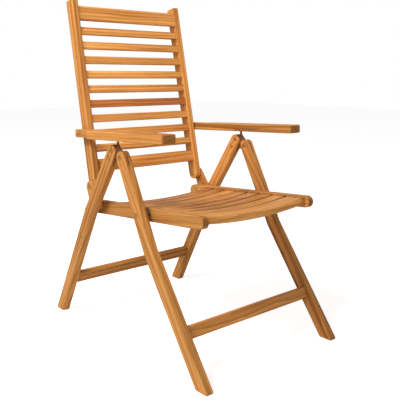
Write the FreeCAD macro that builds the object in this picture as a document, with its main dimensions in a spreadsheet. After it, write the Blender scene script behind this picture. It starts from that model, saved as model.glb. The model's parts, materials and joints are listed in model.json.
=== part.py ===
import FreeCAD, Part
import math
import os

# Folding teak armchair with a five-position back, in millimetres.
# +Z is up, the sitter faces -Y, +X is the sitter's left, and the origin is on the floor
# at the middle of the four feet.

os.makedirs("parts", exist_ok=True)
doc = FreeCAD.newDocument("folding_armchair")
sheet = doc.addObject("Spreadsheet::Sheet", "sizes")

SIZES = {
    # Leg pairs, from the inner face outwards
    "leg_inner": 250.0,
    "leg_thick": 26.0,
    "leg_width": 40.0,
    "hinge_height": 588.0,
    "hinge_back": -7.0,
    "front_foot_reach": 385.0,
    "rear_foot_reach": 386.0,
    "front_knee_drop": 258.0,
    "front_knee_reach": 137.0,
    "rear_knee_drop": 198.0,
    "rear_knee_reach": 190.0,
    "rear_top_rise": 15.0,
    "rear_top_reach": 48.0,
    "foot_round": 4.0,
    "bar_round": 2.5,
    "stretcher_thick": 20.0,
    "front_stretcher_height": 36.0,
    "front_stretcher_level": 128.0,
    "rear_stretcher_height": 40.0,
    "rear_stretcher_level": 130.0,
    # Hinge plates in the slotted leg tops
    "plate_thick": 4.0,
    "plate_round": 14.0,
    "plate_heel_round": 11.0,
    "plate_neck_round": 10.0,
    "plate_slot_clearance": 0.5,
    "plate_slot_corner": 0.5,
    "upper_fixing_rise": 4.0,
    "lower_fixing_drop": 26.0,
    "front_slot_depth": 34.0,
    "rear_slot_depth": 45.0,
    "tongue_reach": 29.0,
    "tongue_round": 3.5,
    "tongue_root_round": 4.0,
    "tongue_length": 15.0,
    "tongue_into_notch": 5.0,
    # Seat frame
    "rail_to_leg": 18.0,
    "rail_thick": 23.0,
    "seat_pivot_drop": 161.6,
    "seat_pivot_reach": 86.1,
    "rail_rear_round": 22.0,
    "rail_front_round": 18.5,
    "rail_rear_reach": 225.0,
    "rail_rear_drop": 191.0,
    "rail_front_reach": 312.5,
    "rail_front_drop": 148.0,
    "seat_slat_thick": 16.0,
    "seat_slat_width": 47.0,
    "seat_slat_gap": 11.0,
    "seat_slat_nose": 3.0,
    "seat_slat_heel": 2.5,
    "seat_slat_drop": 3.0,
    "front_slat_lead": 2.5,
    "front_slat_width": 66.0,
    "front_slat_thick": 24.0,
    "front_slat_nose": 10.5,
    "seat_dish": 13.0,
    "seat_slat_count": 7,
    # Cheeks that carry the back, and the steel links
    "cheek_thick": 12.5,
    "cheek_gap": 0.3,
    "cheek_top_round": 19.0,
    "cheek_front_round": 15.0,
    "cheek_foot_round": 13.0,
    "cheek_front_reach": 52.0,
    "cheek_front_drop": 58.0,
    "link_thick": 4.0,
    "link_gap": 0.4,
    "link_round": 12.0,
    "leg_link_drop": 286.7,
    "seat_link_reach": 213.5,
    "seat_link_drop": 183.0,
    # Back
    "back_pivot_reach": 232.6,
    "back_pivot_drop": 125.5,
    "back_lean": 12.66,
    "stile_depth": 42.0,
    "stile_length": 643.0,
    "stile_corner": 4.0,
    "back_slat_setback": 4.0,
    "back_slat_thick": 14.0,
    "back_slat_height": 26.0,
    "back_slat_count": 9,
    "bottom_rail_start": 46.3,
    "bottom_rail_height": 42.0,
    "top_rail_end": 620.4,
    "top_rail_height": 50.0,
    # Arms
    "arm_pivot_up": 181.9,
    "arm_gap": 3.0,
    "arm_stub_width": 28.0,
    "arm_width": 57.0,
    "arm_thick": 27.0,
    "arm_length": 498.0,
    "arm_tail": 18.0,
    "arm_tail_round": 6.0,
    "arm_edge_round": 4.0,
    "arm_flare_start": 42.0,
    "arm_flare_end": 125.0,
    "arm_flare_bow": 4.0,
    "arm_flare_bow_run": 26.0,
    "arm_rise": 2.5,
    "arm_corner": 12.0,
    "notch_count": 5,
    "notch_pitch": 17.0,
    "notch_width": 12.5,
    "notch_lead": 0.75,
    "notch_depth": 10.0,
    "notch_reach": 33.0,
    # Fasteners
    "bolt_radius": 3.0,
    "bolt_clearance": 0.05,
    "head_radius": 6.5,
    "head_height": 2.0,
    "head_recess": 1.6,
    "head_clearance": 0.4,
    "shank_inset": 0.5,
    "washer_gap": 0.2,
    "washer_radius": 9.0,
    # How far a cut runs past the face that it opens
    "cut_past": 2.0,
}

for row, (alias, number) in enumerate(SIZES.items(), start=1):
    sheet.set(f"A{row}", alias)
    sheet.set(f"B{row}", str(number))
    sheet.setAlias(f"B{row}", alias)
doc.recompute()


def size(alias):
    return float(sheet.get(alias))


def bind(target, prop, formula):
    target.setExpression(prop, formula)


def point(y, z):
    return FreeCAD.Vector(y, z, 0)


# Places in the side view, as (y, z)
PIVOT_HINGE = point(size("hinge_back"), size("hinge_height"))


def from_hinge(reach, drop):
    return point(PIVOT_HINGE.x + reach, PIVOT_HINGE.y - drop)


FRONT_KNEE = from_hinge(-size("front_knee_reach"), size("front_knee_drop"))
FRONT_FOOT = point(-size("front_foot_reach"), 0)
REAR_TOP = from_hinge(size("rear_top_reach"), -size("rear_top_rise"))
REAR_KNEE = from_hinge(size("rear_knee_reach"), size("rear_knee_drop"))
REAR_FOOT = point(size("rear_foot_reach"), 0)
PIVOT_SEAT = from_hinge(-size("seat_pivot_reach"), size("seat_pivot_drop"))
PIVOT_SEAT_LINK = from_hinge(size("seat_link_reach"), size("seat_link_drop"))
PIVOT_BACK = from_hinge(size("back_pivot_reach"), size("back_pivot_drop"))
RAIL_REAR = from_hinge(size("rail_rear_reach"), size("rail_rear_drop"))
RAIL_FRONT = from_hinge(-size("rail_front_reach"), size("rail_front_drop"))

LEAN = math.radians(size("back_lean"))
BACK_UP = point(math.sin(LEAN), math.cos(LEAN))
BACK_REAR = point(math.cos(LEAN), -math.sin(LEAN))


def on_back(rearwards, upwards):
    return PIVOT_BACK + BACK_REAR * rearwards + BACK_UP * upwards


PIVOT_ARM = on_back(0, size("arm_pivot_up"))


def at_level(upper, lower, level):
    share = (upper.y - level) / (upper.y - lower.y)
    return upper + (lower - upper) * share


PIVOT_LEG_LINK = at_level(REAR_KNEE, REAR_FOOT, PIVOT_HINGE.y - size("leg_link_drop"))

# Layers across the chair, from the middle outwards
LEG_IN = size("leg_inner")
LEG_OUT = LEG_IN + size("leg_thick")
RAIL_OUT = LEG_IN - size("rail_to_leg")
RAIL_IN = RAIL_OUT - size("rail_thick")
CHEEK_IN = RAIL_OUT + size("cheek_gap")
CHEEK_OUT = CHEEK_IN + size("cheek_thick")
LINK_IN = CHEEK_OUT + size("link_gap")
LINK_OUT = LINK_IN + size("link_thick")
PLATE_MIDDLE = (LEG_IN + LEG_OUT) / 2
PLATE_IN = PLATE_MIDDLE - size("plate_thick") / 2
PLATE_OUT = PLATE_MIDDLE + size("plate_thick") / 2
ARM_IN = RAIL_OUT + size("arm_gap")
ARM_OUT = ARM_IN + size("arm_width")

HEAD_SEAT = size("head_radius") + size("head_clearance")
CUT_PAST = size("cut_past")

SIDES = {"left": 1, "right": -1}


def new_body(label):
    body = doc.addObject("PartDesign::Body", label)
    body.Label = label
    return body


def new_sketch(body, role, name, offset=0.0):
    plane = next(p for p in body.Origin.OriginFeatures if p.Role == role)
    sketch = body.newObject("Sketcher::SketchObject", name)
    sketch.AttachmentSupport = [(plane, "")]
    sketch.MapMode = "FlatFace"
    sketch.AttachmentOffset = FreeCAD.Placement(FreeCAD.Vector(0, 0, offset), FreeCAD.Rotation())
    return sketch


def hull(circles):
    # Outline round circles given anticlockwise as (centre, radius): arcs joined by their tangents
    normals = []
    count = len(circles)
    for i in range(count):
        centre, radius = circles[i]
        other, other_radius = circles[(i + 1) % count]
        along = (other - centre) * (1 / (other - centre).Length)
        right = point(along.y, -along.x)
        lean = math.asin((radius - other_radius) / (other - centre).Length)
        normals.append(right * math.cos(lean) + along * math.sin(lean))
    edges = []
    for i in range(count):
        centre, radius = circles[i]
        other, other_radius = circles[(i + 1) % count]
        start = math.atan2(normals[i - 1].y, normals[i - 1].x)
        end = math.atan2(normals[i].y, normals[i].x)
        while end <= start:
            end += 2 * math.pi
        circle = Part.Circle(centre, FreeCAD.Vector(0, 0, 1), radius)
        edges.append(Part.ArcOfCircle(circle, start, end))
        edges.append(Part.LineSegment(centre + normals[i] * radius, other + normals[i] * other_radius))
    return edges


def circle(centre, radius):
    return [Part.Circle(centre, FreeCAD.Vector(0, 0, 1), radius)]


def pad(body, name, edges, low, high, role="YZ_Plane"):
    sketch = new_sketch(body, role, name + "_sketch", (low + high) / 2)
    sketch.addGeometry(edges, False)
    feature = body.newObject("PartDesign::Pad", name)
    feature.Profile = sketch
    feature.SideType = "Symmetric"
    feature.Length = high - low
    doc.recompute()
    return feature


def pocket(body, name, edges, low, high, role="YZ_Plane"):
    before = body.Shape.Volume
    sketch = new_sketch(body, role, name + "_sketch", (low + high) / 2)
    sketch.addGeometry(edges, False)
    feature = body.newObject("PartDesign::Pocket", name)
    feature.Profile = sketch
    feature.SideType = "Symmetric"
    feature.Length = high - low
    doc.recompute()
    if body.Shape.Volume >= before:
        raise ValueError(f"{body.Label}: {name} cuts nothing")
    return feature


def across(side, inner, outer):
    # Low and high X of a layer on one side of the chair
    return (inner, outer) if side > 0 else (-outer, -inner)


def bolt_hole(body, name, side, centre, inner, outer, radius="bolt_radius", recess=True):
    low, high = across(side, inner - CUT_PAST, outer + CUT_PAST)
    pocket(body, name, circle(centre, size(radius) + size("bolt_clearance")), low, high)
    if recess:
        low, high = across(side, outer - size("head_recess"), outer + size("head_recess"))
        pocket(body, name + "_recess", circle(centre, HEAD_SEAT), low, high)


def foot_circles(knee, foot):
    # The two rounded corners of a leg's end, flat on the floor
    radius = size("foot_round")
    slope = (knee.x - foot.x) / (knee.y - foot.y)
    half = (size("leg_width") / 2 - radius) * math.hypot(1, slope)
    middle = foot.x + slope * radius
    return [(point(middle - half, radius), radius), (point(middle + half, radius), radius)]


def leg(label, side, top, knee, foot, slot_circles):
    body = new_body(label)
    low, high = across(side, LEG_IN, LEG_OUT)
    half = size("leg_width") / 2
    upper = [(top, half), (knee, half)]
    lower = foot_circles(knee, foot) + [(knee, half)]
    for name, edges in (("upper_run", hull(upper)), ("lower_run", hull(lower))):
        feature = pad(body, name, edges, low, high)
        bind(feature, "Length", "sizes.leg_thick")
    reach = PLATE_OUT - PLATE_IN + 2 * size("plate_slot_clearance")
    middle = side * PLATE_MIDDLE
    pocket(body, "plate_slot", hull(slot_circles), middle - reach / 2, middle + reach / 2)
    return body


def leg_axis(top, knee):
    return (knee - top) * (1 / (knee - top).Length)


def slot_round(top, knee, depth):
    # A wide channel from above the leg's top to its depth below the pivot
    along = leg_axis(top, knee)
    sideways = point(-along.y, along.x)
    half = size("leg_width")
    ends = [
        top - along * half - sideways * half,
        top - along * half + sideways * half,
        top + along * depth + sideways * half,
        top + along * depth - sideways * half,
    ]
    middle = (ends[0] + ends[2]) * 0.5
    ends.sort(key=lambda p: math.atan2(p.y - middle.y, p.x - middle.x))
    return [(p, size("plate_slot_corner")) for p in ends]


PLATE_FIXINGS = [
    REAR_TOP - leg_axis(REAR_TOP, REAR_KNEE) * size("upper_fixing_rise"),
    REAR_TOP + leg_axis(REAR_TOP, REAR_KNEE) * size("lower_fixing_drop"),
]


def arm_point(forwards, upwards):
    rise = math.radians(size("arm_rise"))
    along = point(-math.cos(rise), math.sin(rise))
    above = point(math.sin(rise), math.cos(rise))
    return PIVOT_ARM + along * forwards + above * upwards


# The tongue stands up from between the leg tops into the rearmost notch
TONGUE_FROM_ARM = PIVOT_ARM.x - PIVOT_HINGE.x - size("tongue_reach")
REST_NOTCH = TONGUE_FROM_ARM / math.cos(math.radians(size("arm_rise")))
TONGUE_TOP = -size("arm_thick") / 2 + size("tongue_into_notch") - size("tongue_round")
TONGUE_TIP = arm_point(REST_NOTCH, TONGUE_TOP)
TONGUE_NECK = arm_point(REST_NOTCH, TONGUE_TOP - size("tongue_length"))

for side_name, side in SIDES.items():
    body = leg(
        f"front_leg_{side_name}",
        side,
        PIVOT_HINGE,
        FRONT_KNEE,
        FRONT_FOOT,
        slot_round(PIVOT_HINGE, FRONT_KNEE, size("front_slot_depth")),
    )
    bolt_hole(body, "hinge_hole", side, PIVOT_HINGE, LEG_IN, LEG_OUT)
    bolt_hole(body, "seat_hole", side, PIVOT_SEAT, LEG_IN, LEG_OUT)
    body = leg(
        f"rear_leg_{side_name}",
        side,
        REAR_TOP,
        REAR_KNEE,
        REAR_FOOT,
        slot_round(REAR_TOP, REAR_KNEE, size("rear_slot_depth")),
    )
    for number, fixing in enumerate(PLATE_FIXINGS, start=1):
        bolt_hole(body, f"plate_hole_{number}", side, fixing, LEG_IN, LEG_OUT)
    bolt_hole(body, "link_hole", side, PIVOT_LEG_LINK, LEG_IN, LEG_OUT)

    plate = new_body(f"hinge_plate_{side_name}")
    low, high = across(side, PLATE_IN, PLATE_OUT)
    upper_fixing, lower_fixing = PLATE_FIXINGS
    heel = size("plate_heel_round")
    neck = size("plate_neck_round")
    runs = {
        "wing": [(PIVOT_HINGE, size("plate_round")), (lower_fixing, heel), (upper_fixing, heel)],
        "tongue_root": [
            (PIVOT_HINGE, neck),
            (upper_fixing, neck),
            (TONGUE_NECK, size("tongue_root_round")),
        ],
        "tongue": [(TONGUE_NECK, size("tongue_round")), (TONGUE_TIP, size("tongue_round"))],
    }
    for name, circles in runs.items():
        feature = pad(plate, name, hull(circles), low, high)
        bind(feature, "Length", "sizes.plate_thick")
    for number, centre in enumerate([PIVOT_HINGE] + PLATE_FIXINGS, start=1):
        bolt_hole(plate, f"hole_{number}", side, centre, PLATE_IN, PLATE_OUT, recess=False)


def cross_bar(label, centre, thick, tall, tilt, half_length, lengths):
    # A straight bar across the chair; its section is drawn in the side view
    body = new_body(label)
    lean = math.radians(tilt)
    up = point(math.sin(lean), math.cos(lean))
    rear = point(math.cos(lean), -math.sin(lean))
    round_by = size("bar_round")
    corners = []
    for a, b in ((-1, -1), (1, -1), (1, 1), (-1, 1)):
        place = centre + rear * (a * (thick / 2 - round_by)) + up * (b * (tall / 2 - round_by))
        corners.append((place, round_by))
    feature = pad(body, "bar", hull(corners), -half_length, half_length)
    bind(feature, "Length", lengths)
    return body


def run_tilt(knee, foot):
    return math.degrees(math.atan2(knee.x - foot.x, knee.y - foot.y))


FRONT_SECTION = at_level(FRONT_KNEE, FRONT_FOOT, size("front_stretcher_level"))
cross_bar(
    "front_stretcher",
    FRONT_SECTION,
    size("stretcher_thick"),
    size("front_stretcher_height"),
    run_tilt(FRONT_KNEE, FRONT_FOOT) / 2,
    LEG_IN,
    "2 * sizes.leg_inner",
)
REAR_SECTION = at_level(REAR_KNEE, REAR_FOOT, size("rear_stretcher_level"))
cross_bar(
    "rear_stretcher",
    REAR_SECTION,
    size("stretcher_thick"),
    size("rear_stretcher_height"),
    run_tilt(REAR_KNEE, REAR_FOOT),
    LEG_IN,
    "2 * sizes.leg_inner",
)

# Seat rails, cheeks and links
CHEEK_FRONT = PIVOT_BACK - point(size("cheek_front_reach"), size("cheek_front_drop"))
for side_name, side in SIDES.items():
    rail = new_body(f"seat_rail_{side_name}")
    low, high = across(side, RAIL_IN, RAIL_OUT)
    circles = [(RAIL_FRONT, size("rail_front_round")), (RAIL_REAR, size("rail_rear_round"))]
    feature = pad(rail, "rail", hull(circles), low, high)
    bind(feature, "Length", "sizes.rail_thick")
    bolt_hole(rail, "pivot_hole", side, PIVOT_SEAT, RAIL_IN, RAIL_OUT, recess=False)
    bolt_hole(rail, "link_hole", side, PIVOT_SEAT_LINK, RAIL_IN, RAIL_OUT, recess=False)

    cheek = new_body(f"cheek_{side_name}")
    low, high = across(side, CHEEK_IN, CHEEK_OUT)
    circles = [
        (PIVOT_BACK, size("cheek_top_round")),
        (CHEEK_FRONT, size("cheek_front_round")),
        (PIVOT_SEAT_LINK, size("cheek_foot_round")),
    ]
    feature = pad(cheek, "cheek", hull(circles), low, high)
    bind(feature, "Length", "sizes.cheek_thick")
    bolt_hole(cheek, "back_hole", side, PIVOT_BACK, CHEEK_IN, CHEEK_OUT)
    bolt_hole(cheek, "link_hole", side, PIVOT_SEAT_LINK, CHEEK_IN, CHEEK_OUT, recess=False)

    link = new_body(f"link_{side_name}")
    low, high = across(side, LINK_IN, LINK_OUT)
    circles = [(PIVOT_LEG_LINK, size("link_round")), (PIVOT_SEAT_LINK, size("link_round"))]
    feature = pad(link, "link", hull(circles), low, high)
    bind(feature, "Length", "sizes.link_thick")
    bolt_hole(link, "leg_hole", side, PIVOT_LEG_LINK, LINK_IN, LINK_OUT, recess=False)
    bolt_hole(link, "seat_hole", side, PIVOT_SEAT_LINK, LINK_IN, LINK_OUT, recess=False)

# Seat slats, dished across the chair, in the seat rails' own slope
SEAT_RUN = RAIL_REAR - RAIL_FRONT
SEAT_SLOPE = math.degrees(math.atan2(SEAT_RUN.y, SEAT_RUN.x))


def dished_outline(half, top, thick, dish):
    # A slat seen from the front: both faces are arcs that dip in the middle
    upper = Part.Arc(point(-half, top), point(0, top - dish), point(half, top))
    lower = Part.Arc(point(-half, top - thick), point(0, top - thick - dish), point(half, top - thick))
    left_end = Part.LineSegment(point(-half, top - thick), point(-half, top))
    right_end = Part.LineSegment(point(half, top), point(half, top - thick))
    return [upper, right_end, lower, left_end]


def edges_where(shape, test):
    return [f"Edge{i}" for i, edge in enumerate(shape.Edges, start=1) if test(edge)]


def fillet(body, name, feature, radius, test):
    names = edges_where(feature.Shape, test)
    rounding = body.newObject("PartDesign::Fillet", name)
    rounding.Base = (feature, names)
    rounding.Radius = radius
    doc.recompute()
    return rounding


def seat_slat(label, start, width, thick, nose):
    # start is the slat's front edge, measured rearwards from the front rail circle's centre
    body = new_body(label)
    top = size("rail_front_round") - size("seat_slat_drop")
    feature = pad(
        body, "slat", dished_outline(RAIL_IN, top, thick, size("seat_dish")), 0, width, "XZ_Plane"
    )

    def is_front(edge):
        box = edge.BoundBox
        return box.YLength < 0.01 and box.YMin < -width + 0.01 and box.XLength > RAIL_IN

    def is_rear(edge):
        box = edge.BoundBox
        return box.YLength < 0.01 and box.YMax > -0.01 and box.XLength > RAIL_IN

    feature = fillet(body, "front_edges", feature, min(nose, thick * 0.45), is_front)
    fillet(body, "rear_edges", feature, size("seat_slat_heel"), is_rear)
    place = FreeCAD.Vector(0, RAIL_FRONT.x, RAIL_FRONT.y)
    turn = FreeCAD.Rotation(FreeCAD.Vector(1, 0, 0), SEAT_SLOPE)
    body.Placement = FreeCAD.Placement(place + turn.multVec(FreeCAD.Vector(0, start + width, 0)), turn)
    return body


FIRST_START = -size("front_slat_lead")
seat_slat(
    "seat_front_slat",
    FIRST_START,
    size("front_slat_width"),
    size("front_slat_thick"),
    size("front_slat_nose"),
)
for number in range(1, int(size("seat_slat_count")) + 1):
    pitch = size("seat_slat_width") + size("seat_slat_gap")
    start = FIRST_START + size("front_slat_width") + size("seat_slat_gap") + pitch * (number - 1)
    seat_slat(
        f"seat_slat_{number}",
        start,
        size("seat_slat_width"),
        size("seat_slat_thick"),
        size("seat_slat_nose"),
    )

# Back: stiles, rails and slats between them
for side_name, side in SIDES.items():
    stile = new_body(f"stile_{side_name}")
    low, high = across(side, RAIL_IN, RAIL_OUT)
    half = size("stile_depth") / 2
    corner = size("stile_corner")
    top = size("stile_length") - corner
    circles = [
        (PIVOT_BACK, half),
        (on_back(half - corner, top), corner),
        (on_back(corner - half, top), corner),
    ]
    feature = pad(stile, "stile", hull(circles), low, high)
    bind(feature, "Length", "sizes.rail_thick")
    bolt_hole(stile, "back_hole", side, PIVOT_BACK, RAIL_IN, RAIL_OUT, recess=False)
    bolt_hole(stile, "arm_hole", side, PIVOT_ARM, RAIL_IN, RAIL_OUT, recess=False)

FRONT_OF_SLATS = -size("stile_depth") / 2 + size("back_slat_setback")


def back_bar(label, start, tall):
    middle = on_back(FRONT_OF_SLATS + size("back_slat_thick") / 2, start + tall / 2)
    length = "2 * (sizes.leg_inner - sizes.rail_to_leg - sizes.rail_thick)"
    return cross_bar(label, middle, size("back_slat_thick"), tall, size("back_lean"), RAIL_IN, length)


back_bar("back_bottom_rail", size("bottom_rail_start"), size("bottom_rail_height"))
back_bar("back_top_rail", size("top_rail_end") - size("top_rail_height"), size("top_rail_height"))
slat_count = int(size("back_slat_count"))
slats_from = size("bottom_rail_start") + size("bottom_rail_height")
slats_to = size("top_rail_end") - size("top_rail_height")
slat_gap = (slats_to - slats_from - slat_count * size("back_slat_height")) / (slat_count + 1)
for number in range(1, slat_count + 1):
    start = slats_to - number * (slat_gap + size("back_slat_height"))
    back_bar(f"back_slat_{number}", start, size("back_slat_height"))


# Arms, in plan: a narrow stub at the stile that flares out in front of it
def arm_outline(side):
    def at(out, forwards):
        return point(side * out, -forwards)

    tail = size("arm_tail")
    stub_out = ARM_IN + size("arm_stub_width")
    corner = size("arm_corner")
    length = size("arm_length")
    flare_from = size("arm_flare_start")
    flare_to = size("arm_flare_end")
    bow = size("arm_flare_bow")
    run = size("arm_flare_bow_run")
    middle = (flare_from + flare_to) / 2
    bend_out = (stub_out + ARM_OUT) / 2
    hollow = Part.Arc(
        at(stub_out, flare_from), at(stub_out + bow, flare_from + run), at(bend_out, middle)
    )
    swell = Part.Arc(at(bend_out, middle), at(ARM_OUT - bow, flare_to - run), at(ARM_OUT, flare_to))
    slant = corner * (1 - math.sqrt(0.5))
    outer_corner = Part.Arc(
        at(ARM_OUT, length - corner), at(ARM_OUT - slant, length - slant), at(ARM_OUT - corner, length)
    )
    inner_corner = Part.Arc(
        at(ARM_IN + corner, length), at(ARM_IN + slant, length - slant), at(ARM_IN, length - corner)
    )
    tail_round = size("arm_tail_round")
    tail_slant = tail_round * (1 - math.sqrt(0.5))
    tail_outer = Part.Arc(
        at(stub_out - tail_round, -tail),
        at(stub_out - tail_slant, -tail + tail_slant),
        at(stub_out, -tail + tail_round),
    )
    return [
        Part.LineSegment(at(ARM_IN, -tail), at(stub_out - tail_round, -tail)),
        tail_outer,
        Part.LineSegment(at(stub_out, -tail + tail_round), at(stub_out, flare_from)),
        hollow,
        swell,
        Part.LineSegment(at(ARM_OUT, flare_to), at(ARM_OUT, length - corner)),
        outer_corner,
        Part.LineSegment(at(ARM_OUT - corner, length), at(ARM_IN + corner, length)),
        inner_corner,
        Part.LineSegment(at(ARM_IN, length - corner), at(ARM_IN, -tail)),
    ]


def notch_outline(forwards):
    # A slot with a rounded roof, seen from the side in the arm's own frame
    half = size("notch_width") / 2
    floor = -size("arm_thick") / 2
    roof = floor + size("notch_depth")
    low = floor - CUT_PAST
    return [
        Part.LineSegment(point(-forwards - half, low), point(-forwards + half, low)),
        Part.LineSegment(point(-forwards + half, low), point(-forwards + half, roof - half)),
        Part.Arc(
            point(-forwards + half, roof - half),
            point(-forwards, roof),
            point(-forwards - half, roof - half),
        ),
        Part.LineSegment(point(-forwards - half, roof - half), point(-forwards - half, low)),
    ]


for side_name, side in SIDES.items():
    arm = new_body(f"arm_{side_name}")
    half = size("arm_thick") / 2
    feature = pad(arm, "arm", arm_outline(side), -half, half, "XY_Plane")
    bind(feature, "Length", "sizes.arm_thick")

    def is_top_or_bottom(edge):
        return edge.BoundBox.ZLength < 0.01

    fillet(arm, "soft_edges", feature, size("arm_edge_round"), is_top_or_bottom)
    low, high = across(side, ARM_IN - CUT_PAST, ARM_IN + size("notch_reach"))
    for number in range(int(size("notch_count"))):
        forwards = REST_NOTCH + size("notch_lead") + number * size("notch_pitch")
        pocket(arm, f"notch_{number + 1}", notch_outline(forwards), low, high)
    stub_out = ARM_IN + size("arm_stub_width")
    low, high = across(side, ARM_IN - CUT_PAST, stub_out + CUT_PAST)
    hole = circle(point(0, 0), size("bolt_radius") + size("bolt_clearance"))
    pocket(arm, "pivot_hole", hole, low, high)
    low, high = across(side, stub_out - size("head_recess"), stub_out + size("head_recess"))
    pocket(arm, "head_recess", circle(point(0, 0), HEAD_SEAT), low, high)
    turn = FreeCAD.Rotation(FreeCAD.Vector(1, 0, 0), -size("arm_rise"))
    arm.Placement = FreeCAD.Placement(FreeCAD.Vector(0, PIVOT_ARM.x, PIVOT_ARM.y), turn)


# Fasteners: Part primitives along X
def cylinder(label, centre, radius, low, high, radius_formula):
    rod = doc.addObject("Part::Cylinder", label)
    rod.Radius = radius
    bind(rod, "Radius", radius_formula)
    rod.Height = high - low
    along_x = FreeCAD.Rotation(FreeCAD.Vector(0, 1, 0), 90)
    rod.Placement = FreeCAD.Placement(FreeCAD.Vector(low, centre.x, centre.y), along_x)
    return rod


def bolt(name, side, centre, inner, outer, head_at):
    # A plain shank with a low round head at the outer end
    low, high = across(side, inner, head_at)
    shank = cylinder(name + "_shank", centre, size("bolt_radius"), low, high, "sizes.bolt_radius")
    low, high = across(side, head_at, outer)
    head = cylinder(name + "_head", centre, size("head_radius"), low, high, "sizes.head_radius")
    whole = doc.addObject("Part::Fuse", name)
    whole.Base = shank
    whole.Tool = head
    return whole


def group(label, members):
    joined = doc.addObject("Part::Compound", label)
    joined.Label = label
    joined.Links = members
    return joined


def bolt_group(label, centres, inner, outer):
    # One bolt a side at each centre, from just inside the inner face to a head sunk in the outer face
    members = []
    head_at = outer - size("head_recess")
    for side_name, side in SIDES.items():
        for number, centre in enumerate(centres, start=1):
            name = f"{label}_{side_name}_{number}"
            shank_from = inner + size("shank_inset")
            members.append(bolt(name, side, centre, shank_from, head_at + size("head_height"), head_at))
    return group(label, members)


bolt_group("hinge_bolts", [PIVOT_HINGE], LEG_IN, LEG_OUT)
bolt_group("plate_bolts", PLATE_FIXINGS, LEG_IN, LEG_OUT)
bolt_group("leg_link_bolts", [PIVOT_LEG_LINK], LINK_IN, LEG_OUT)
bolt_group("seat_bolts", [PIVOT_SEAT], RAIL_IN, LEG_OUT)
bolt_group("back_bolts", [PIVOT_BACK], RAIL_IN, CHEEK_OUT)
bolt_group("arm_bolts", [PIVOT_ARM], RAIL_IN, ARM_IN + size("arm_stub_width"))


def ring_group(label, centre, inner, outer, radius):
    members = []
    for side_name, side in SIDES.items():
        low, high = across(side, inner, outer)
        ring = cylinder(f"{label}_{side_name}_body", centre, radius, low, high, "sizes.washer_radius")
        bore_radius = size("bolt_radius") + size("bolt_clearance")
        bore_formula = "sizes.bolt_radius + sizes.bolt_clearance"
        bore_low = low - CUT_PAST
        bore_high = high + CUT_PAST
        bore = cylinder(
            f"{label}_{side_name}_bore", centre, bore_radius, bore_low, bore_high, bore_formula
        )
        cut = doc.addObject("Part::Cut", f"{label}_{side_name}")
        cut.Base = ring
        cut.Tool = bore
        members.append(cut)
    return group(label, members)


WASHER_GAP = size("washer_gap")
ring_group("seat_spacers", PIVOT_SEAT, RAIL_OUT + WASHER_GAP, LEG_IN - WASHER_GAP, size("washer_radius"))
ring_group("arm_washers", PIVOT_ARM, RAIL_OUT + WASHER_GAP, ARM_IN - WASHER_GAP, size("washer_radius"))

seat_link_pins = []
for side_name, side in SIDES.items():
    low, high = across(side, RAIL_IN + size("shank_inset"), CHEEK_OUT)
    name = f"seat_link_pins_{side_name}"
    seat_link_pins.append(
        cylinder(name, PIVOT_SEAT_LINK, size("bolt_radius"), low, high, "sizes.bolt_radius")
    )
group("seat_link_pins", seat_link_pins)

doc.recompute()

for item in doc.Objects:
    if "Invalid" in item.State or "Error" in item.State:
        raise ValueError(f"{item.Label} failed: {item.State}")

nodes = []
for item in doc.Objects:
    if item.TypeId in ("PartDesign::Body", "Part::Compound"):
        nodes.append(item)
for node in nodes:
    shape = node.Shape
    if shape.isNull() or not shape.isValid() or not shape.Solids:
        raise ValueError(f"{node.Label} has no valid solid")
for node in nodes:
    node.Shape.exportStep(f"parts/{node.Label}.step")
print(len(nodes), "sub-parts written")
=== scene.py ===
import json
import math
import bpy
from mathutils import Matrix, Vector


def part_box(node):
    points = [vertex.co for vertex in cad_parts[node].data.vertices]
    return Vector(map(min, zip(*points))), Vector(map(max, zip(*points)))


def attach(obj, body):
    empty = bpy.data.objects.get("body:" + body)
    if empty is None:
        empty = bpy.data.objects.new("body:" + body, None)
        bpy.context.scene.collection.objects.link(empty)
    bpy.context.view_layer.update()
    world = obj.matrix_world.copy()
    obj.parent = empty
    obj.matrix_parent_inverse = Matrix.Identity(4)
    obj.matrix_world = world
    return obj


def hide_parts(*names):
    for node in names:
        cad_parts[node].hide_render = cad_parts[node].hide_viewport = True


bl_info = {
    "name": "Folding Teak Armchair",
    "version": (1, 0, 0),
    "blender": (4, 5, 0),
    "location": "View3D > Sidebar > Armchair",
    "description": "Dresses the folding teak armchair with sawn boards, oiled grain and plated bolts",
    "category": "Add Mesh",
}

import bmesh
import bpy
import numpy as np
from mathutils import Euler

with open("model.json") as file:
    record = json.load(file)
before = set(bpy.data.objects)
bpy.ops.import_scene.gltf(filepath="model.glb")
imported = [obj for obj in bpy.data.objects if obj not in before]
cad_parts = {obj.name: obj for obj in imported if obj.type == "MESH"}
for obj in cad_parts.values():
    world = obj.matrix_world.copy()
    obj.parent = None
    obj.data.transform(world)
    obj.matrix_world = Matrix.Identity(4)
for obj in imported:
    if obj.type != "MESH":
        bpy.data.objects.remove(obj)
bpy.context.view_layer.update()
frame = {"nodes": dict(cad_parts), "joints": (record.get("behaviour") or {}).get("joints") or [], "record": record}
NODES = frame["nodes"]
BODY_OF_NODE = {
    node: body for body, members in frame["record"]["behaviour"]["bodies"].items() for node in members
}
PIVOTS = {joint["name"]: np.array(joint["pos_m"]) for joint in frame["joints"]}


def middle_of(node):
    """Middle of a node's box."""
    low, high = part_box(node)
    return np.array((low + high) / 2)


def unit(vector):
    """The vector at length 1."""
    return np.array(vector) / np.linalg.norm(vector)


def diagonal(node, rising):
    """Direction of a slanted board in the side view, from its box's corners."""
    low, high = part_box(node)
    tall = (high.z - low.z) * (1 if rising else -1)
    return unit((0.0, high.y - low.y, tall))


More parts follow.
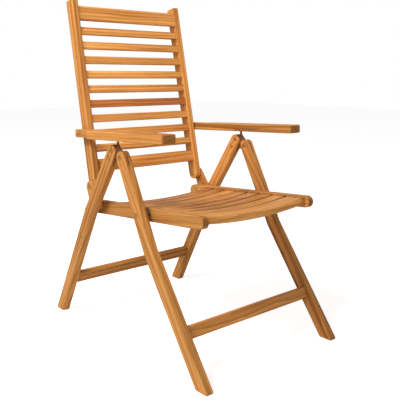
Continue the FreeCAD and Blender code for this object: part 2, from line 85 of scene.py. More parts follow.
SIDES = {"left": 1, "right": -1}
ACROSS = np.array((1.0, 0.0, 0.0))
# Direction in which the seat slats' faces towards their gaps look; painted shade darkens these faces
SLAT_GAP_SHADE_DIRECTION = np.array((0.0, 1.0, 0.0))
ARM_RISE = math.radians(2.5)
CHEEK_RISE = 1.1

# The way the grain runs in each kind of board; every other board's grain runs across the chair
GRAIN = {
    "front_leg": diagonal("front_leg_left", True),
    "rear_leg": diagonal("rear_leg_left", False),
    "seat_rail": diagonal("seat_rail_left", False),
    "stile": unit(PIVOTS["arm_fold"] - PIVOTS["back_fold"]),
    "arm": unit((0.0, -1.0, math.tan(ARM_RISE))),
    "cheek": unit((0.0, 1.0, CHEEK_RISE)),
}

# How pale each kind of board is against the others, as the photograph shows them: partly the wood's own tone and
# partly painted light, brighter or darker as the light falls on that kind of board
BOARD_TONES_AND_PAINTED_LIGHT = {
    "back_": 1.22,
    "stile": 1.02,
    "arm": 1.0,
    "front_leg": 1.05,
    "rear_leg": 1.12,
    "seat_rail": 0.92,
    "seat_slat": 1.15,
    "seat_front": 1.15,
    "front_stretcher": 1.35,
}


def by_kind(table, node, otherwise):
    """The entry of a table for the kind of board, by how the node's name starts."""
    for start, entry in table.items():
        if node.startswith(start):
            return entry
    return otherwise


def bolt_centres():
    """Places of the bolt axes in the side view, as rows of (y, z). The hinge plates' own bolts come
    last, from opposite corners of their box."""
    pivots = ("legs_fold", "seat_fold", "link_fold", "back_fold", "arm_fold")
    centres = [PIVOTS[name][1:] for name in pivots]
    centres.append(middle_of("seat_link_pins")[1:])
    low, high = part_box("plate_bolts")
    centres.append(np.array((low.y + HEAD_RADIUS, high.z - HEAD_RADIUS)))
    centres.append(np.array((high.y - HEAD_RADIUS, low.z + HEAD_RADIUS)))
    return np.array(centres)


HEAD_RADIUS = (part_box("seat_bolts")[1].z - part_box("seat_bolts")[0].z) / 2
BOLT_CENTRES = bolt_centres()
UPPER_PLATE_BOLT, LOWER_PLATE_BOLT = BOLT_CENTRES[-2:]

# Turned fittings, in metres
SHANK_RADIUS = 0.003
SHANK_ROUND = 0.0004
HEAD_TALL = 0.002
RIM_ROUND = 0.0012
SOCKET_ROUND = 0.0004
SOCKET_LIP = 0.0003
CAP_RADIUS = 0.0052
CAP_TALL = 0.0009
CAP_ROUND = 0.0006
CAP_BORE = 0.0022
CAP_BORE_FOOT = 0.0020
CAP_FLOOR = 0.0002
CAP_GAP = 0.00005
TURNED_STEPS = 36

# Merging, rounding and shading of the meshes
MERGE_GAP = 1e-6
FLAT_GAP = 1e-5
FLAT_TURN = math.radians(0.05)
ROUNDED_TURN = math.radians(40)
CRISP_TURN = math.radians(32)
CRISP_ARM_TURN = math.radians(62)
CRISP_BOLT_TURN = math.radians(35)
BOLT_KEEP_CLEAR = 0.003

# Noises, as scale, detail, roughness, and the levels taken as 0 and 1; stretches, as factors of the axes
MOTTLE = (1.0, 3.0, 0.5, 0.34, 0.72)
BANDS = (1.0, 4.0, 0.6, 0.40, 0.68)
PORES = (1.0, 2.0, 0.7, 0.55, 0.72)
CLOUDS = (160.0, 3.0, 0.5, 0.35, 0.75)
SCUFFS = (900.0, 2.0, 0.5, 0.5, 0.8)
MOTTLE_STRETCH = (2.2, 11.0, 11.0)
BAND_STRETCH = (1.6, 75.0, 75.0)
PORE_STRETCH = (22.0, 900.0, 900.0)
RING_STRETCH = (0.16, 1.0, 1.0)
RINGS = {"Scale": 26.0, "Distortion": 5.0, "Detail": 2.5, "Detail Scale": 0.9}
RING_LEVELS = (0.30, 1.0)

# How much each pattern darkens, and towards which colour
BAND_SHARE = 0.50
MOTTLE_SHARE = 0.38
PORE_SHARE = 0.30
# The end grain's darkening also carries the painted shade in the seat's gaps and round the bolt heads
END_GRAIN_AND_SHADE_SHARE = 0.52
TARNISH_SHARE = 0.45
PORE_COLOUR = (0.19, 0.065, 0.017, 1.0)
END_GRAIN_AND_SHADE_COLOUR = (0.13, 0.042, 0.009, 1.0)
TARNISH_COLOUR = (0.12, 0.08, 0.05, 1.0)

# How much each pattern roughens, and how deep the bands lie against the pores
OILED_ROUGHNESS = 0.45
BAND_ROUGHNESS = 0.10
PORE_ROUGHNESS = 0.2
SCUFF_ROUGHNESS = 0.25
BAND_DEPTH = 0.3

# One board against the next: place in the log, tone, warmth and strength of the rings
LOG_SEED = 71
LOG_REACH = (-4.0, 4.0)
LOG_RADIUS = (0.07, 0.30)
TONE_SPREAD = (0.92, 1.06)
WARM_SPREAD = (-0.03, 0.03)
FIGURE_SPREAD = (0.30, 0.60)

# How squarely a face looks along a direction, from where a darkening begins to where it is full
END_FACING = (0.72, 0.93)
# The seat slats' faces towards the gaps between them, darkened as painted shade
SLAT_GAP_SHADE_FACING = (0.75, 0.92)
FLAT_SIDE_FACING = (0.6, 0.9)
# How far past a bolt's head its rim of painted shade begins, and where it is full
SHADE_RIM_WIDTHS = (0.0026, 0.0010)

# Lamps: place, point aimed at, then size and power, or angle in degrees and power
CHAIR_MIDDLE = (0.0, 0.0, 0.55)
KEY_LAMP = ((-2.9, -0.2, 3.3), CHAIR_MIDDLE, 1.5, 150.0)
FILL_LAMP = ((1.8, -3.0, 1.6), CHAIR_MIDDLE, 2.6, 6.0)
BACK_LAMP = ((-0.9, -2.5, 2.5), (0.0, 0.25, 0.84), 26.0, 240.0)
SURROUND_STRENGTH = 0.23
FLOOR_HALF = 12.0
FLOOR_DROP = 0.0005


class ArmchairWood(bpy.types.PropertyGroup):
    light: bpy.props.FloatVectorProperty(
        name="Light wood",
        description="Colour of the pale early wood",
        subtype="COLOR",
        size=3,
        default=(0.72, 0.33, 0.086),
    )
    dark: bpy.props.FloatVectorProperty(
        name="Streaks",
        description="Colour of the darker late wood",
        subtype="COLOR",
        size=3,
        default=(0.31, 0.10, 0.018),
    )
    red_light: bpy.props.FloatVectorProperty(
        name="Red board",
        description="Pale wood of the one redder slat",
        subtype="COLOR",
        size=3,
        default=(0.50, 0.18, 0.05),
    )
    red_dark: bpy.props.FloatVectorProperty(
        name="Red streaks",
        description="Streaks of the one redder slat",
        subtype="COLOR",
        size=3,
        default=(0.25, 0.07, 0.018),
    )
    edge_round: bpy.props.FloatProperty(
        name="Edge rounding",
        description="Radius sanded onto the long edges of legs, rails and stiles",
        default=0.0028,
        min=0.0,
        unit="LENGTH",
    )
    grain_depth: bpy.props.FloatProperty(
        name="Grain depth",
        description="Height of the open pores",
        default=0.00025,
        min=0.0,
        unit="LENGTH",
    )


class ArmchairMetal(bpy.types.PropertyGroup):
    plating: bpy.props.FloatVectorProperty(
        name="Bolt plating",
        description="Yellow zinc on the bolt heads",
        subtype="COLOR",
        size=3,
        default=(0.62, 0.34, 0.09),
    )
    plate: bpy.props.FloatVectorProperty(
        name="Hinge plate",
        description="Dark coating of the hinge plates",
        subtype="COLOR",
        size=3,
        default=(0.20, 0.085, 0.034),
    )
    link: bpy.props.FloatVectorProperty(
        name="Link",
        description="Zinc on the links",
        subtype="COLOR",
        size=3,
        default=(0.42, 0.38, 0.31),
    )
    # Zinc of the spacers and washers, darkened to paint the shade they lie in
    spacer_zinc_in_painted_shade: bpy.props.FloatVectorProperty(
        name="Spacers",
        description="Zinc on the spacers and washers, darkened as painted shade",
        subtype="COLOR",
        size=3,
        default=(0.13, 0.11, 0.09),
    )
    socket: bpy.props.FloatProperty(
        name="Socket radius",
        description="Radius of the key socket in each bolt head",
        default=0.0027,
        min=0.0005,
        unit="LENGTH",
    )


class ArmchairStage(bpy.types.PropertyGroup):
    floor_colour: bpy.props.FloatVectorProperty(
        name="Floor",
        description="Colour of the plain floor",
        subtype="COLOR",
        size=3,
        default=(0.9, 0.9, 0.9),
    )
    floor_lift: bpy.props.FloatProperty(
        name="Floor lift",
        description="Glow that the camera alone sees, so that the floor meets the white surround",
        default=0.72,
        min=0.0,
    )
    camera_place: bpy.props.FloatVectorProperty(
        name="Camera place",
        description="Where the camera stands",
        subtype="TRANSLATION",
        unit="LENGTH",
        size=3,
        default=(-1.290, -1.542, 0.840),
    )
    camera_heading: bpy.props.FloatProperty(
        name="Heading",
        description="Turn of the view from +Y towards +X",
        subtype="ANGLE",
        default=math.radians(40.65),
    )
    camera_pitch: bpy.props.FloatProperty(
        name="Pitch",
        description="Tilt of the view below the horizon",
        subtype="ANGLE",
        default=math.radians(5.93),
    )
    camera_roll: bpy.props.FloatProperty(
        name="Roll",
        description="Turn of the view about its own axis",
        subtype="ANGLE",
        default=math.radians(0.31),
    )
    focal_length: bpy.props.FloatProperty(
        name="Focal length",
        description="Lens in millimetres for a 36 mm sensor",
        default=55.17,
        min=1.0,
    )
    shift_across: bpy.props.FloatProperty(
        name="Shift across", description="Sideways shift of the frame", default=0.0085
    )
    shift_up: bpy.props.FloatProperty(
        name="Shift up", description="Upward shift of the frame", default=-0.156
    )


def link_nodes(tree, *pairs):
    """Joins each output socket to its input socket."""
    for source, target in pairs:
        tree.links.new(source, target)


def math_node(tree, operation, first, second):
    """One Math node; first and second are numbers or output sockets."""
    node = tree.nodes.new("ShaderNodeMath")
    node.operation = operation
    for socket, value in zip(node.inputs, (first, second)):
        if isinstance(value, (int, float)):
            socket.default_value = value
        else:
            tree.links.new(value, socket)
    return node.outputs[0]


def vector_node(tree, operation, vector, fixed):
    """Outputs of one Vector Math node; vector is an output socket and fixed a plain vector."""
    node = tree.nodes.new("ShaderNodeVectorMath")
    node.operation = operation
    tree.links.new(vector, node.inputs[0])
    node.inputs[1].default_value = tuple(fixed)
    return node.outputs


def stretched(tree, vector, factors):
    """The vector with each axis multiplied, to draw a pattern out along the grain."""
    return vector_node(tree, "MULTIPLY", vector, factors)[0]


def ramp(tree, value, low, high):
    """Straight ramp from 0 at low to 1 at high, held at both ends."""
    node = tree.nodes.new("ShaderNodeMapRange")
    node.inputs["From Min"].default_value = low
    node.inputs["From Max"].default_value = high
    tree.links.new(value, node.inputs["Value"])
    return node.outputs[0]


def noise_mask(tree, vector, scale, detail, roughness, low, high):
    """Noise texture held between two levels."""
    node = tree.nodes.new("ShaderNodeTexNoise")
    node.inputs["Scale"].default_value = scale
    node.inputs["Detail"].default_value = detail
    node.inputs["Roughness"].default_value = roughness
    tree.links.new(vector, node.inputs["Vector"])
    return ramp(tree, node.outputs[0], low, high)


def colour_mix(tree, factor, first, second):
    """Mix of two colours, each a plain colour or an output socket."""
    node = tree.nodes.new("ShaderNodeMix")
    node.data_type = "RGBA"
    tree.links.new(factor, node.inputs[0])
    for socket, value in ((node.inputs[6], first), (node.inputs[7], second)):
        if isinstance(value, tuple):
            socket.default_value = value
        else:
            tree.links.new(value, socket)
    return node.outputs[2]


def new_group(name, inputs, outputs):
    """A shader node group with its named sockets, and its own input and output nodes."""
    group = bpy.data.node_groups.new(name, "ShaderNodeTree")
    for way, sockets in (("INPUT", inputs), ("OUTPUT", outputs)):
        for socket, kind in sockets.items():
            group.interface.new_socket(socket, in_out=way, socket_type="NodeSocket" + kind)
    return group, group.nodes.new("NodeGroupInput"), group.nodes.new("NodeGroupOutput")


def teak_grain_group():
    """Sawn and oiled teak, built once. Growth rings run about the grain's axis, a slow mottle and fine
    bands shift the tone, pores drawn out along the grain roughen it, and End darkens the end
    grain together with the painted shade that each board is given."""
    name = "teak_grain"
    if name in bpy.data.node_groups:
        return bpy.data.node_groups[name]
    group, given, result = new_group(
        name,
        {"Vector": "Vector", "Light": "Color", "Dark": "Color", "Figure": "Float", "End": "Float"},
        {"Color": "Color", "Roughness": "Float", "Height": "Float"},
    )
    vector = given.outputs["Vector"]

    rings = group.nodes.new("ShaderNodeTexWave")
    rings.wave_type = "RINGS"
    rings.rings_direction = "X"
    rings.wave_profile = "SAW"
    for socket, value in RINGS.items():
        rings.inputs[socket].default_value = value
    group.links.new(stretched(group, vector, RING_STRETCH), rings.inputs["Vector"])
    ring_mask = ramp(group, rings.outputs["Fac"], *RING_LEVELS)

    mottle_mask = noise_mask(group, stretched(group, vector, MOTTLE_STRETCH), *MOTTLE)
    band_mask = noise_mask(group, stretched(group, vector, BAND_STRETCH), *BANDS)
    pore_mask = noise_mask(group, stretched(group, vector, PORE_STRETCH), *PORES)

    figure = math_node(group, "MULTIPLY", ring_mask, given.outputs["Figure"])
    streaks = math_node(group, "MULTIPLY", band_mask, BAND_SHARE)
    slow = math_node(group, "MULTIPLY", mottle_mask, MOTTLE_SHARE)
    amount = math_node(group, "ADD", math_node(group, "ADD", figure, streaks), slow)
    amount = math_node(group, "MINIMUM", amount, 1.0)
    base = colour_mix(group, amount, given.outputs["Light"], given.outputs["Dark"])
    pore_amount = math_node(group, "MULTIPLY", pore_mask, PORE_SHARE)
    wood = colour_mix(group, pore_amount, base, PORE_COLOUR)
    # End grain darkening and painted shade, mixed in as one colour
    end_grain_and_shade_amount = math_node(group, "MULTIPLY", given.outputs["End"], END_GRAIN_AND_SHADE_SHARE)
    wood = colour_mix(group, end_grain_and_shade_amount, wood, END_GRAIN_AND_SHADE_COLOUR)

    rough_bands = math_node(group, "MULTIPLY", band_mask, BAND_ROUGHNESS)
    rough_pores = math_node(group, "MULTIPLY", pore_mask, PORE_ROUGHNESS)
    rough = math_node(group, "ADD", math_node(group, "ADD", rough_bands, OILED_ROUGHNESS), rough_pores)
    hollows = math_node(group, "ADD", pore_mask, math_node(group, "MULTIPLY", band_mask, BAND_DEPTH))
    height = math_node(group, "SUBTRACT", 1.0, hollows)
    link_nodes(
        group,
        (wood, result.inputs["Color"]),
        (rough, result.inputs["Roughness"]),
        (height, result.inputs["Height"]),
    )
    return group


def plating_group():
    """Rolled or plated metal, built once: clouds of tarnish in the tone and fine scuffs in the gloss."""
    name = "plated_metal"
    if name in bpy.data.node_groups:
        return bpy.data.node_groups[name]
    group, given, result = new_group(
        name,
        {"Vector": "Vector", "Colour": "Color", "Gloss": "Float"},
        {"Color": "Color", "Roughness": "Float"},
    )
    clouds = noise_mask(group, given.outputs["Vector"], *CLOUDS)
    scuffs = noise_mask(group, given.outputs["Vector"], *SCUFFS)
    tarnish = math_node(group, "MULTIPLY", clouds, TARNISH_SHARE)
    tone = colour_mix(group, tarnish, given.outputs["Colour"], TARNISH_COLOUR)
    scuffed = math_node(group, "MULTIPLY", scuffs, SCUFF_ROUGHNESS)
    rough = math_node(group, "ADD", given.outputs["Gloss"], scuffed)
    link_nodes(group, (tone, result.inputs["Color"]), (rough, result.inputs["Roughness"]))
    return group


def new_material(name):
    """A material that holds one Principled shader, with its node tree and that shader."""
    material = bpy.data.materials.new(name)
    material.use_nodes = True
    tree = material.node_tree
    tree.nodes.clear()
    shader = tree.nodes.new("ShaderNodeBsdfPrincipled")
    output = tree.nodes.new("ShaderNodeOutputMaterial")
    tree.links.new(shader.outputs[0], output.inputs["Surface"])
    return material, tree, shader


def facing(tree, place, direction, levels):
    """1 where the face looks along a direction or against it, 0 where it looks aside."""
    along = vector_node(tree, "DOT_PRODUCT", place.outputs["Normal"], direction)["Value"]
    return ramp(tree, math_node(tree, "ABSOLUTE", along, 0.0), *levels)


def painted_shade_rims(tree, place, centres):
    """Painted shade: 1 under each bolt head and in a narrow ring round it on the board's flat sides, by the
    distance from the bolt's axis in the side view."""
    flat = stretched(tree, place.outputs["Object"], (0.0, 1.0, 1.0))
    nearest = 1.0
    for centre in centres:
        gap = vector_node(tree, "DISTANCE", flat, (0.0, *centre))["Value"]
        nearest = math_node(tree, "MINIMUM", gap, nearest)
    begins, full = SHADE_RIM_WIDTHS
    ring = ramp(tree, nearest, HEAD_RADIUS + begins, HEAD_RADIUS + full)
    return math_node(tree, "MULTIPLY", ring, facing(tree, place, ACROSS, FLAT_SIDE_FACING))


def bolts_through(node):
    """Bolt places inside the board's box in the side view; none for a board that lies across."""
    if by_kind(GRAIN, node, ACROSS) is ACROSS:
        return []
    low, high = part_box(node)
    inside = (BOLT_CENTRES > (low.y, low.z)) & (BOLT_CENTRES < (high.y, high.z))
    return [tuple(float(value) for value in centre) for centre in BOLT_CENTRES[inside.all(axis=1)]]


def teak(node, number, red=False):
    """Teak for one board: its number draws its place in the log, its tone and its figure. The faces that the
    grain ends on are darker, and painted shade darkens the slat faces in the seat's gaps and a rim round each bolt
    head."""
    direction = by_kind(GRAIN, node, ACROSS)
    wood = bpy.context.scene.armchair_wood
    material, tree, shader = new_material(node + "_teak")
    place = tree.nodes.new("ShaderNodeTexCoord")
    lay = tree.nodes.new("ShaderNodeMapping")
    if direction is not ACROSS:
        slope = math.atan2(direction[2], direction[1])
        lay.inputs["Rotation"].default_value = (-slope, 0.0, math.radians(-90))
    seeded = np.random.default_rng(LOG_SEED + number)
    along, around = seeded.uniform(*LOG_REACH), seeded.uniform(0, 2 * math.pi)
    away = seeded.uniform(*LOG_RADIUS)
    lay.inputs["Location"].default_value = (along, away * math.cos(around), away * math.sin(around))
    grain = tree.nodes.new("ShaderNodeGroup")
    grain.node_tree = teak_grain_group()
    # The kind's paleness is partly the wood's own tone and partly painted light
    tone = by_kind(BOARD_TONES_AND_PAINTED_LIGHT, node, 1.0) * seeded.uniform(*TONE_SPREAD)
    warm = seeded.uniform(*WARM_SPREAD)
    light = np.array(wood.red_light if red else wood.light) * tone * (1.0, 1.0 + warm, 1.0 + 2 * warm)
    dark = np.array(wood.red_dark if red else wood.dark) * tone
    grain.inputs["Light"].default_value = (*light, 1.0)
    grain.inputs["Dark"].default_value = (*dark, 1.0)
    grain.inputs["Figure"].default_value = seeded.uniform(*FIGURE_SPREAD)
    # The end grain's darkening, to which the painted shade below is added
    end = facing(tree, place, direction, END_FACING)
    # Painted shade on the seat slats' faces towards the gaps between them
    if node.startswith("seat_slat"):
        end = math_node(tree, "MAXIMUM", end, facing(tree, place, SLAT_GAP_SHADE_DIRECTION, SLAT_GAP_SHADE_FACING))
    # Painted shade in a rim round each bolt head
    centres = bolts_through(node)
    if centres:
        end = math_node(tree, "MAXIMUM", end, painted_shade_rims(tree, place, centres))
    bump = tree.nodes.new("ShaderNodeBump")
    bump.inputs["Strength"].default_value = 0.5
    bump.inputs["Distance"].default_value = wood.grain_depth
    shader.inputs["Specular IOR Level"].default_value = 0.12
    link_nodes(
        tree,
        (place.outputs["Object"], lay.inputs["Vector"]),
        (lay.outputs["Vector"], grain.inputs["Vector"]),
        (end, grain.inputs["End"]),
        (grain.outputs["Color"], shader.inputs["Base Color"]),
        (grain.outputs["Roughness"], shader.inputs["Roughness"]),
        (grain.outputs["Height"], bump.inputs["Height"]),
        (bump.outputs["Normal"], shader.inputs["Normal"]),
    )
    return material


def metal(name, colour, gloss, metallic=1.0):
    """One finish of the metal parts; gloss is its plain roughness."""
    material, tree, shader = new_material(name)
    place = tree.nodes.new("ShaderNodeTexCoord")
    finish = tree.nodes.new("ShaderNodeGroup")
    finish.node_tree = plating_group()
    finish.inputs["Colour"].default_value = (*colour, 1.0)
    finish.inputs["Gloss"].default_value = gloss
    shader.inputs["Metallic"].default_value = metallic
    link_nodes(
        tree,
        (place.outputs["Object"], finish.inputs["Vector"]),
        (finish.outputs["Color"], shader.inputs["Base Color"]),
        (finish.outputs["Roughness"], shader.inputs["Roughness"]),
    )
    return material


def in_scene(name, data):
    """A new object in the scene, at the origin."""
    item = bpy.data.objects.new(name, data)
    bpy.context.scene.collection.objects.link(item)
    return item


def near_bolt(points):
    """True where a point lies close to a bolt's axis, in the side view."""
    gaps = points[:, None, 1:] - BOLT_CENTRES[None, :, :]
    return (np.linalg.norm(gaps, axis=2) < HEAD_RADIUS + BOLT_KEEP_CLEAR).any(axis=1)


def sanded_board(node, rounded, crisp):
    """A board from its CAD node: the mesh is merged, and where asked a bevel of the sanding radius rounds
    the edges of its two flat sides, apart from those close to a bolt. Edges that turn by more than the
    crisp angle stay sharp in the shading."""
    source = NODES[node].data
    shape = bmesh.new()
    shape.from_mesh(source)
    bmesh.ops.remove_doubles(shape, verts=shape.verts, dist=MERGE_GAP)
    if rounded:
        bmesh.ops.dissolve_limit(shape, angle_limit=FLAT_TURN, verts=shape.verts, edges=shape.edges)
        weight = shape.edges.layers.float.new("bevel_weight_edge")
        edges = [edge for edge in shape.edges if len(edge.link_faces) == 2]
        ends = np.array([[tuple(edge.verts[0].co), tuple(edge.verts[1].co)] for edge in edges])
        turn = np.array([edge.calc_face_angle(0.0) for edge in edges])
        low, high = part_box(node)
        flat = (np.abs(ends[:, :, 0] - low.x) < FLAT_GAP).all(axis=1)
        flat |= (np.abs(ends[:, :, 0] - high.x) < FLAT_GAP).all(axis=1)
        wanted = flat & (turn > ROUNDED_TURN) & ~near_bolt(ends.mean(axis=1))
        for edge, take in zip(edges, wanted):
            edge[weight] = 1.0 if take else 0.0
    mesh = bpy.data.meshes.new(node + "_board")
    shape.to_mesh(mesh)
    shape.free()
    board = in_scene(node + "_board", mesh)
    if rounded:
        bevel = board.modifiers.new("sanded_edges", "BEVEL")
        bevel.limit_method = "WEIGHT"
        bevel.width = bpy.context.scene.armchair_wood.edge_round
        bevel.segments = 3
        bevel.use_clamp_overlap = False
    mesh.shade_smooth()
    mesh.set_sharp_from_angle(angle=crisp)
    return board


def dress_boards(nodes, rounded=False, red=(), crisp=CRISP_TURN):
    """Puts a sanded board with its own teak in the place of each node."""
    names = sorted(NODES)
    for node in nodes:
        board = sanded_board(node, rounded, crisp)
        is_red = node in red
        board.data.materials.append(teak(node, names.index(node), is_red))
        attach(board, BODY_OF_NODE[node])
        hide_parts(node)


def revolved(name, profile, centre):
    """A turned piece about X: each row of profile is (x, radius), carried round the axis through centre.
    The point at angle a is (x, centre y + radius cos a, centre z + radius sin a)."""
    steps = TURNED_STEPS
    turn = np.linspace(0, 2 * math.pi, steps, endpoint=False)
    x = np.repeat(profile[:, 0:1], steps, axis=1)
    y = centre[0] + profile[:, 1:2] * np.cos(turn)
    z = centre[1] + profile[:, 1:2] * np.sin(turn)
    points = np.stack((x, y, z), axis=2).reshape(-1, 3)
    row, column = np.meshgrid(np.arange(len(profile) - 1) * steps, np.arange(steps), indexing="ij")
    after = (column + 1) % steps
    corners = (row + column, row + after, row + steps + after, row + steps + column)
    quads = np.stack(corners, axis=2).reshape(-1, 4)
    mesh = bpy.data.meshes.new(name)
    mesh.from_pydata(points.tolist(), [], quads.tolist())
    tidy = bmesh.new()
    tidy.from_mesh(mesh)
    bmesh.ops.remove_doubles(tidy, verts=tidy.verts, dist=MERGE_GAP)
    bmesh.ops.recalc_face_normals(tidy, faces=tidy.faces)
    tidy.to_mesh(mesh)
    tidy.free()
    mesh.shade_smooth()
    mesh.set_sharp_from_angle(angle=CRISP_BOLT_TURN)
    return in_scene(name, mesh)


def bolt_profile(inner, outer):
    """From the end of the shank out over a low domed head and down into its key socket, as rows of
    (x, radius). The dome is a quarter of an ellipse: rim + round cos a at seat + tall sin a."""
    socket = bpy.context.scene.armchair_metal.socket
    arc = np.linspace(0, math.pi / 2, 7)
    seat = outer - HEAD_TALL
    rim = HEAD_RADIUS - RIM_ROUND
    rows = [(inner, 0.0), (inner, SHANK_RADIUS - SHANK_ROUND), (inner + SHANK_ROUND, SHANK_RADIUS)]
    rows += [(seat, SHANK_RADIUS), (seat, HEAD_RADIUS)]
    rows += [(seat + HEAD_TALL * math.sin(a), rim + RIM_ROUND * math.cos(a)) for a in arc]
    rows += [(outer, socket + SOCKET_ROUND), (outer - SOCKET_LIP, socket), (seat, socket), (seat, 0.0)]
    return np.array(rows)


def cap_profile(face):
    """The round end of a bolt's sleeve nut, which stands a little inwards from a board's inner face and
    has a shallow bore, as rows of (x, radius)."""
    seat = face - CAP_GAP
    top = seat - CAP_TALL
    floor = seat - CAP_FLOOR
    rows = [(seat, 0.0), (seat, CAP_RADIUS), (seat - CAP_TALL / 2, CAP_RADIUS)]
    rows += [(top, CAP_RADIUS - CAP_ROUND), (top, CAP_BORE), (floor, CAP_BORE_FOOT), (floor, 0.0)]
    return np.array(rows)


def turned_fitting(name, profile, side, centre, body, material):
    """A plated fitting from its profile: as given on the left, and mirrored on the right."""
    piece = revolved(name, profile * (side, 1), centre)
    piece.data.materials.append(material)
    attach(piece, body)
    return piece


def make_bolts(node, material, centres=None):
    """The bolts of one node on both sides, with the node's own reach."""
    inner = min(abs(vertex.co.x) for vertex in NODES[node].data.vertices)
    profile = bolt_profile(inner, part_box(node)[1].x)
    if centres is None:
        centres = [middle_of(node)[1:]]
    for word, side in SIDES.items():
        for number, centre in enumerate(centres, start=1):
            name = f"{node}_{word}_{number}"
            piece = turned_fitting(name, profile, side, centre, BODY_OF_NODE[node], material)
            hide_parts(node)


def make_caps(name, body, centre, face, material):
    """The ends of one pair of sleeve nuts, one on each side."""
    for word, side in SIDES.items():
        turned_fitting(f"{name}_{word}", cap_profile(face), side, centre, body, material)


class ARMCHAIR_OT_legs(bpy.types.Operator):
    """Front and rear legs with their stretchers"""

    bl_idname = "armchair.legs"
    bl_label = "Legs"

    def execute(self, context):
        legs = [f"{pair}_leg_{side}" for pair in ("front", "rear") for side in SIDES]
        dress_boards(legs, rounded=True)
        dress_boards(["front_stretcher", "rear_stretcher"])
        return {"FINISHED"}


class ARMCHAIR_OT_seat(bpy.types.Operator):
    """Seat rails, cheeks and dished slats"""

    bl_idname = "armchair.seat"
    bl_label = "Seat"

    def execute(self, context):
        rails = [f"{kind}_{side}" for kind in ("seat_rail", "cheek") for side in SIDES]
        dress_boards(rails, rounded=True)
        dress_boards(sorted(node for node in NODES if node.startswith(("seat_slat_", "seat_front"))))
        return {"FINISHED"}


class ARMCHAIR_OT_back(bpy.types.Operator):
    """Stiles, rails and narrow slats of the back"""

    bl_idname = "armchair.back"
    bl_label = "Back"

    def execute(self, context):
        dress_boards(["stile_left", "stile_right"], rounded=True)
        bars = sorted(node for node in NODES if node.startswith("back_") and node != "back_bolts")
        dress_boards(bars, red=("back_slat_6",))
        return {"FINISHED"}


class ARMCHAIR_OT_arms(bpy.types.Operator):
    """The two notched arms"""

    bl_idname = "armchair.arms"
    bl_label = "Arms"

    def execute(self, context):
        dress_boards(["arm_left", "arm_right"], crisp=CRISP_ARM_TURN)
        return {"FINISHED"}


class ARMCHAIR_OT_hardware(bpy.types.Operator):
    """Bolts, hinge plates, links, spacers and washers"""

    bl_idname = "armchair.hardware"
    bl_label = "Hardware"

    def execute(self, context):
        look = context.scene.armchair_metal
        plated = metal("yellow_zinc", look.plating, 0.28)
        for node in ("hinge_bolts", "seat_bolts", "leg_link_bolts", "back_bolts", "arm_bolts"):
            make_bolts(node, plated)
        make_bolts("plate_bolts", plated, (UPPER_PLATE_BOLT, LOWER_PLATE_BOLT))
        stile_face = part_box("stile_left")[0].x
        leg_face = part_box("front_leg_left")[0].x
        for name, body, centre, face in (
            ("back_cap", "back_pins", PIVOTS["back_fold"][1:], stile_face),
            ("link_pin_cap", "seat", middle_of("seat_link_pins")[1:], stile_face),
            ("hinge_cap", "frame", PIVOTS["legs_fold"][1:], leg_face),
            ("upper_plate_cap", "rear_legs", UPPER_PLATE_BOLT, leg_face),
            ("lower_plate_cap", "rear_legs", LOWER_PLATE_BOLT, leg_face),
        ):
            make_caps(name, body, centre, face, plated)
        coated = metal("dark_coating", look.plate, 0.45, 0.2)
        zinc = metal("dull_zinc", look.link, 0.4)
        # Zinc darkened to paint the shade round the spacers and washers
        spacer_zinc_in_painted_shade = metal("zinc_darkened_as_painted_shade", look.spacer_zinc_in_painted_shade, 0.6)
        finishes = {
            "hinge_plate": coated,
            "link_": zinc,
            "seat_spacers": spacer_zinc_in_painted_shade,
            "arm_washers": spacer_zinc_in_painted_shade,
            "seat_link_pins": plated,
        }
        for node, item in NODES.items():
            for start, finish in finishes.items():
                if node.startswith(start):
                    item.data.materials.clear()
                    item.data.materials.append(finish)
        return {"FINISHED"}


def aimed(name, lamp, place, target):
    """Hangs a lamp at a place and turns it to a point."""
    item = in_scene(name, lamp)
    item.location = place
    aim = np.array(target) - np.array(place)
    heading = math.atan2(aim[0], aim[1])
    fall = math.atan2(-aim[2], math.hypot(aim[0], aim[1]))
    item.rotation_euler = Euler((math.radians(90) - fall, 0.0, -heading))


def round_light(name, place, target, reach, power):
    """A round soft box."""
    lamp = bpy.data.lights.new(name, "AREA")
    lamp.shape = "DISK"
    lamp.size = reach
    lamp.energy = power
    aimed(name, lamp, place, target)


def back_light(name, place, target, angle, power):
    """A soft-edged spot that lifts the slatted back above the legs' shade."""
    lamp = bpy.data.lights.new(name, "SPOT")
    lamp.spot_size = math.radians(angle)
    lamp.spot_blend = 1.0
    lamp.shadow_soft_size = 0.25
    lamp.energy = power
    aimed(name, lamp, place, target)


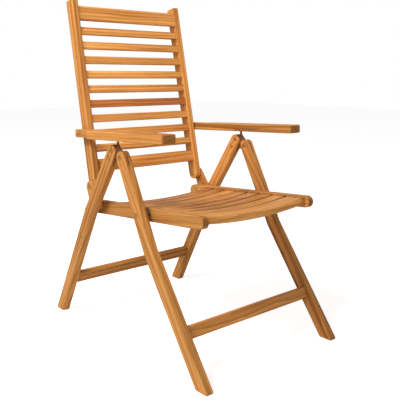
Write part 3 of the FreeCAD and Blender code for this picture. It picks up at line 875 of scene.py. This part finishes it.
class ARMCHAIR_OT_stage(bpy.types.Operator):
    """Pale floor, white surround, soft studio light and the camera"""

    bl_idname = "armchair.stage"
    bl_label = "Stage"

    def execute(self, context):
        scene = context.scene
        look = scene.armchair_stage
        mesh = bpy.data.meshes.new("floor")
        half = FLOOR_HALF
        corners = [(-half, -half, 0.0), (half, -half, 0.0), (half, half, 0.0), (-half, half, 0.0)]
        mesh.from_pydata(corners, [], [(0, 1, 2, 3)])
        floor = in_scene("floor", mesh)
        floor.location.z = -FLOOR_DROP
        material, tree, shader = new_material("pale_floor")
        shader.inputs["Base Color"].default_value = (*look.floor_colour, 1.0)
        shader.inputs["Roughness"].default_value = 0.9
        shader.inputs["Specular IOR Level"].default_value = 0.1
        shader.inputs["Emission Color"].default_value = (1.0, 1.0, 1.0, 1.0)
        rays = tree.nodes.new("ShaderNodeLightPath").outputs
        lift = math_node(tree, "MULTIPLY", rays["Is Camera Ray"], look.floor_lift)
        link_nodes(tree, (lift, shader.inputs["Emission Strength"]))
        mesh.materials.append(material)

        world = bpy.data.worlds.new("surround")
        scene.world = world
        world.use_nodes = True
        nodes = world.node_tree.nodes
        nodes.clear()
        rays = nodes.new("ShaderNodeLightPath").outputs
        seen = math_node(world.node_tree, "MAXIMUM", rays["Is Camera Ray"], rays["Is Glossy Ray"])
        seen = math_node(world.node_tree, "MAXIMUM", seen, rays["Is Transmission Ray"])
        soft, white = nodes.new("ShaderNodeBackground"), nodes.new("ShaderNodeBackground")
        for shade, strength in ((soft, SURROUND_STRENGTH), (white, 1.0)):
            shade.inputs["Color"].default_value = (1.0, 1.0, 1.0, 1.0)
            shade.inputs["Strength"].default_value = strength
        mix = nodes.new("ShaderNodeMixShader")
        output = nodes.new("ShaderNodeOutputWorld")
        link_nodes(
            world.node_tree,
            (seen, mix.inputs[0]),
            (soft.outputs[0], mix.inputs[1]),
            (white.outputs[0], mix.inputs[2]),
            (mix.outputs[0], output.inputs["Surface"]),
        )

        round_light("key", *KEY_LAMP)
        round_light("fill", *FILL_LAMP)
        back_light("back_glow", *BACK_LAMP)

        lens = bpy.data.cameras.new("camera")
        camera = in_scene("camera", lens)
        lens.sensor_width = 36.0
        lens.lens = look.focal_length
        lens.shift_x = look.shift_across
        lens.shift_y = look.shift_up
        lens.clip_end = 60.0
        camera.location = look.camera_place
        level = Euler((math.radians(90) - look.camera_pitch, 0.0, -look.camera_heading)).to_matrix()
        rolled = Euler((0.0, 0.0, look.camera_roll)).to_matrix()
        camera.rotation_euler = (level @ rolled).to_euler()
        scene.camera = camera
        scene.view_settings.view_transform = "Standard"
        return {"FINISHED"}


class ARMCHAIR_PT_panel(bpy.types.Panel):
    """Sidebar panel that lists the chair's pieces and their settings"""

    bl_idname = "ARMCHAIR_PT_panel"
    bl_label = "Folding Armchair"
    bl_space_type = "VIEW_3D"
    bl_region_type = "UI"
    bl_category = "Armchair"

    def draw(self, context):
        for operator in PIECES:
            self.layout.operator(operator.bl_idname)
        scene = context.scene
        for settings in (scene.armchair_wood, scene.armchair_metal, scene.armchair_stage):
            for prop in settings.bl_rna.properties:
                if prop.identifier not in ("rna_type", "name"):
                    self.layout.prop(settings, prop.identifier)


PIECES = (
    ARMCHAIR_OT_legs,
    ARMCHAIR_OT_seat,
    ARMCHAIR_OT_back,
    ARMCHAIR_OT_arms,
    ARMCHAIR_OT_hardware,
    ARMCHAIR_OT_stage,
)
CLASSES = (ArmchairWood, ArmchairMetal, ArmchairStage) + PIECES + (ARMCHAIR_PT_panel,)


def register():
    for cls in CLASSES:
        bpy.utils.register_class(cls)
    bpy.types.Scene.armchair_wood = bpy.props.PointerProperty(type=ArmchairWood)
    bpy.types.Scene.armchair_metal = bpy.props.PointerProperty(type=ArmchairMetal)
    bpy.types.Scene.armchair_stage = bpy.props.PointerProperty(type=ArmchairStage)


def unregister():
    del bpy.types.Scene.armchair_stage
    del bpy.types.Scene.armchair_metal
    del bpy.types.Scene.armchair_wood
    for cls in reversed(CLASSES):
        bpy.utils.unregister_class(cls)


def main():
    register()
    bpy.ops.armchair.legs()
    bpy.ops.armchair.seat()
    bpy.ops.armchair.back()
    bpy.ops.armchair.arms()
    bpy.ops.armchair.hardware()
    bpy.ops.armchair.stage()


if __name__ == "__main__":
    main()
